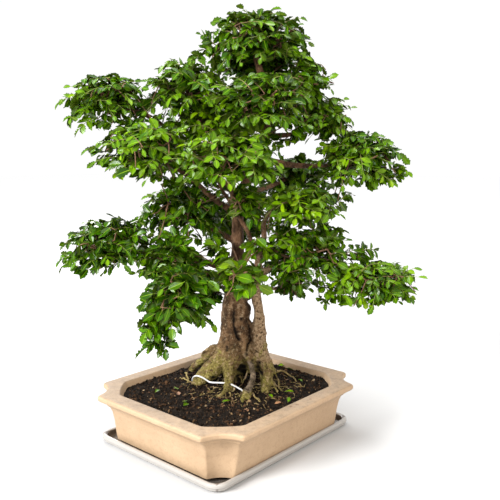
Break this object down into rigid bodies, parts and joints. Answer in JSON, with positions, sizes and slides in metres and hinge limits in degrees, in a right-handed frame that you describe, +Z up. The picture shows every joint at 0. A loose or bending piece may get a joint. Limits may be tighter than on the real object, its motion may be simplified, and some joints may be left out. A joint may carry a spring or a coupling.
{
  "type": "potted bonsai tree",
  "caption": "Indoor bonsai tree with layered pads of small glossy leaves, in an oblong stoneware pot with scooped corners on a drip saucer.",
  "frame": {"origin": "middle of the saucer's flat underside, on the surface that it stands on", "axes": "+Z up, X along the pot's short side, Y along its long side; the picture looks from +X and -Y, from a little above"},
  "size_m": [0.4967, 0.4625, 0.7025],
  "materials": {
    "saucer": "gloss",
    "pot": "matte",
    "soil": "matte",
    "bark": "matte",
    "wire": "satin",
    "leaves": "satin"
  },
  "bodies": {
    "root": {"saucer": "saucer", "pot": "pot", "soil": "soil", "tree_wood": "bark", "tie_wire": "wire", "leaves_apex": "leaves", "leaves_apex_right": "leaves", "leaves_apex_back": "leaves", "leaves_crown_front": "leaves", "leaves_shoulder_left": "leaves", "leaves_crown_left": "leaves", "leaves_far_left_upper": "leaves", "leaves_left_mid_front": "leaves", "leaves_centre_mid": "leaves", "leaves_right_upper": "leaves", "leaves_right_mid": "leaves", "leaves_centre_right": "leaves", "leaves_centre_fill": "leaves", "leaves_left_mid_back": "leaves", "leaves_far_left_lower": "leaves", "leaves_left_low_inner": "leaves", "leaves_left_hanging": "leaves", "leaves_centre_low": "leaves", "leaves_right_low": "leaves", "leaves_right_low_far": "leaves", "leaves_right_low_back": "leaves", "leaves_back_crown": "leaves", "leaves_back_left": "leaves", "leaves_back_right": "leaves", "leaves_back_low": "leaves"}
  },
  "joints": []
}
